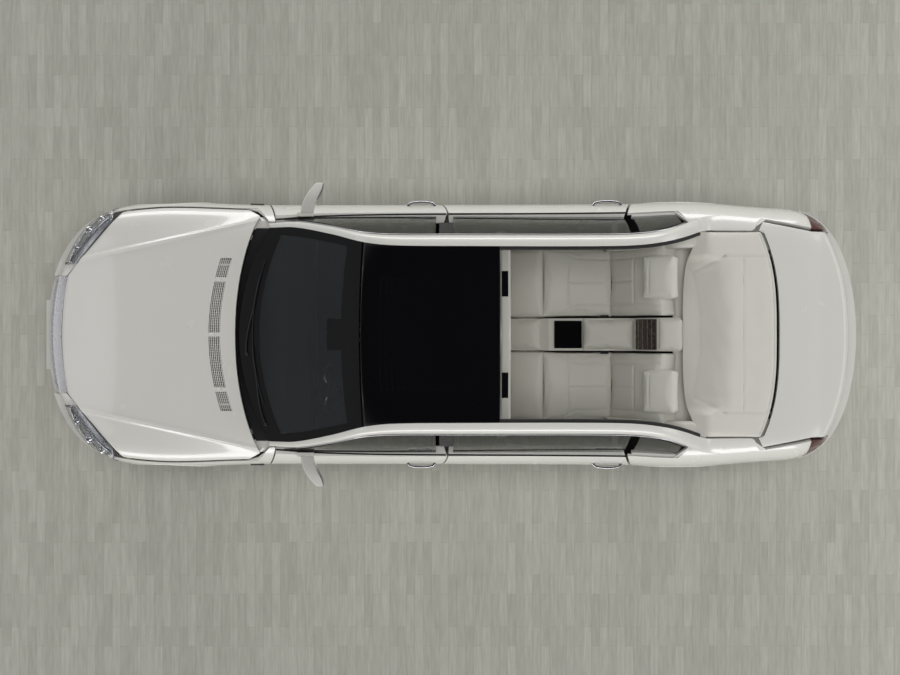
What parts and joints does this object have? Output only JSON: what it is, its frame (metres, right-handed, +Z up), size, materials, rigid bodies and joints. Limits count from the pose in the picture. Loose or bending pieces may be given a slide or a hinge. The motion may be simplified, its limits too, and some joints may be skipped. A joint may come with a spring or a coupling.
{
  "type": "landaulet",
  "caption": "Long luxury landaulet with closed front, open rear seats, folded soft top under its cover, opening doors, bonnet and boot, and steered wheels.",
  "frame": {"origin": "on the ground under the middle of the body's box", "axes": "front towards -X, left side towards -Y, +Z up"},
  "size_m": [6.165, 2.172, 1.5728],
  "materials": {
    "white_paint": "warm pearl white paint under clear coat",
    "black_paint": "gloss black paint",
    "chrome": "bright polished chrome",
    "lamp_lens": "clear lamp lens over bright reflectors",
    "tail_lens": "dark red lamp lens",
    "dark_glass": "tinted glass",
    "clear_glass": "clear glass",
    "leather": "ivory grained leather with stitched channels",
    "wood": "dark polished wood veneer",
    "trim": "satin black trim",
    "underbody": "dark grey coated steel",
    "steel": "bare machined steel",
    "rim": "polished alloy",
    "tyre": "black road tyre rubber"
  },
  "bodies": {
    "root": {"floor_pan": "underbody", "body_sides": "white_paint", "front_wings": "white_paint", "rear_quarters": "white_paint", "cowl": "underbody", "front_bumper": "white_paint", "rear_bumper": "white_paint", "grille": "chrome", "headlamps": "lamp_lens", "tail_lamps": "tail_lens", "windscreen": "clear_glass", "roof_panel": "black_paint", "partition": "leather", "partition_glass": "clear_glass", "dashboard": "trim", "front_seats": "leather", "rear_seats": "leather", "rear_console": "wood", "top_cover": "leather", "quarter_glass": "dark_glass", "wipers": "trim", "engine": "steel", "exhaust": "steel", "front_subframe": "underbody", "rear_axle": "steel", "wheel_houses": "trim"},
    "steer_left": {"knuckle_left": "steel"},
    "steer_right": {"knuckle_right": "steel"},
    "wheel_front_left": {"tyre_front_left": "tyre", "rim_front_left": "rim"},
    "wheel_front_right": {"tyre_front_right": "tyre", "rim_front_right": "rim"},
    "wheel_rear_left": {"tyre_rear_left": "tyre", "rim_rear_left": "rim"},
    "wheel_rear_right": {"tyre_rear_right": "tyre", "rim_rear_right": "rim"},
    "bonnet": {"bonnet": "white_paint", "bonnet_vent": "trim"},
    "boot_lid": {"boot_lid": "white_paint"},
    "door_front_left": {"door_front_left": "white_paint", "glass_front_left": "dark_glass", "mirror_left": "white_paint"},
    "door_front_right": {"door_front_right": "white_paint", "glass_front_right": "dark_glass", "mirror_right": "white_paint"},
    "door_rear_left": {"door_rear_left": "white_paint", "glass_rear_left": "dark_glass"},
    "door_rear_right": {"door_rear_right": "white_paint", "glass_rear_right": "dark_glass"},
    "steering_wheel": {"steering_wheel": "wood"}
  },
  "joints": [
    {"name": "steering_left", "type": "hinge", "parent": "root", "child": "steer_left", "pos_m": [-2.075, -0.7695, 0.3785], "axis": [0, 0, 1], "range_deg": [-35, 35]},
    {"name": "steering_right", "type": "hinge", "parent": "root", "child": "steer_right", "pos_m": [-2.075, 0.7695, 0.3785], "axis": [0, 0, 1], "range_deg": [-35, 35]},
    {"name": "roll_front_left", "type": "hinge", "parent": "steer_left", "child": "wheel_front_left", "pos_m": [-2.075, -0.8375, 0.3785], "axis": [0, 1, 0], "continuous": true},
    {"name": "roll_front_right", "type": "hinge", "parent": "steer_right", "child": "wheel_front_right", "pos_m": [-2.075, 0.8375, 0.3785], "axis": [0, 1, 0], "continuous": true},
    {"name": "roll_rear_left", "type": "hinge", "parent": "root", "child": "wheel_rear_left", "pos_m": [1.752, -0.8475, 0.3785], "axis": [0, 1, 0], "continuous": true},
    {"name": "roll_rear_right", "type": "hinge", "parent": "root", "child": "wheel_rear_right", "pos_m": [1.752, 0.8475, 0.3785], "axis": [0, 1, 0], "continuous": true},
    {"name": "steering_wheel_turn", "type": "hinge", "parent": "root", "child": "steering_wheel", "pos_m": [-1.038, -0.409, 0.8], "axis": [0.9272, 0, 0.3746], "range_deg": [-456, 456]},
    {"name": "door_front_left_swing", "type": "hinge", "parent": "root", "child": "door_front_left", "pos_m": [-1.312, -0.9486, 0.555], "axis": [0, 0, -1], "range_deg": [0, 68]},
    {"name": "door_front_right_swing", "type": "hinge", "parent": "root", "child": "door_front_right", "pos_m": [-1.312, 0.9486, 0.555], "axis": [0, 0, 1], "range_deg": [0, 68]},
    {"name": "door_rear_left_swing", "type": "hinge", "parent": "root", "child": "door_rear_left", "pos_m": [-0.03, -0.94875, 0.555], "axis": [0, 0, -1], "range_deg": [0, 72]},
    {"name": "door_rear_right_swing", "type": "hinge", "parent": "root", "child": "door_rear_right", "pos_m": [-0.03, 0.94875, 0.555], "axis": [0, 0, 1], "range_deg": [0, 72]},
    {"name": "bonnet_lift", "type": "hinge", "parent": "root", "child": "bonnet", "pos_m": [-1.358, 0, 0.925], "axis": [0, 1, 0], "range_deg": [0, 48]},
    {"name": "boot_lift", "type": "hinge", "parent": "root", "child": "boot_lid", "pos_m": [2.15, 0, 1.05], "axis": [0, -1, 0], "range_deg": [0, 62]}
  ],
  "couplings": [
    {"joint": "steering_right", "follows": "steering_left", "ratio": 1},
    {"joint": "steering_wheel_turn", "follows": "steering_left", "ratio": 13}
  ]
}
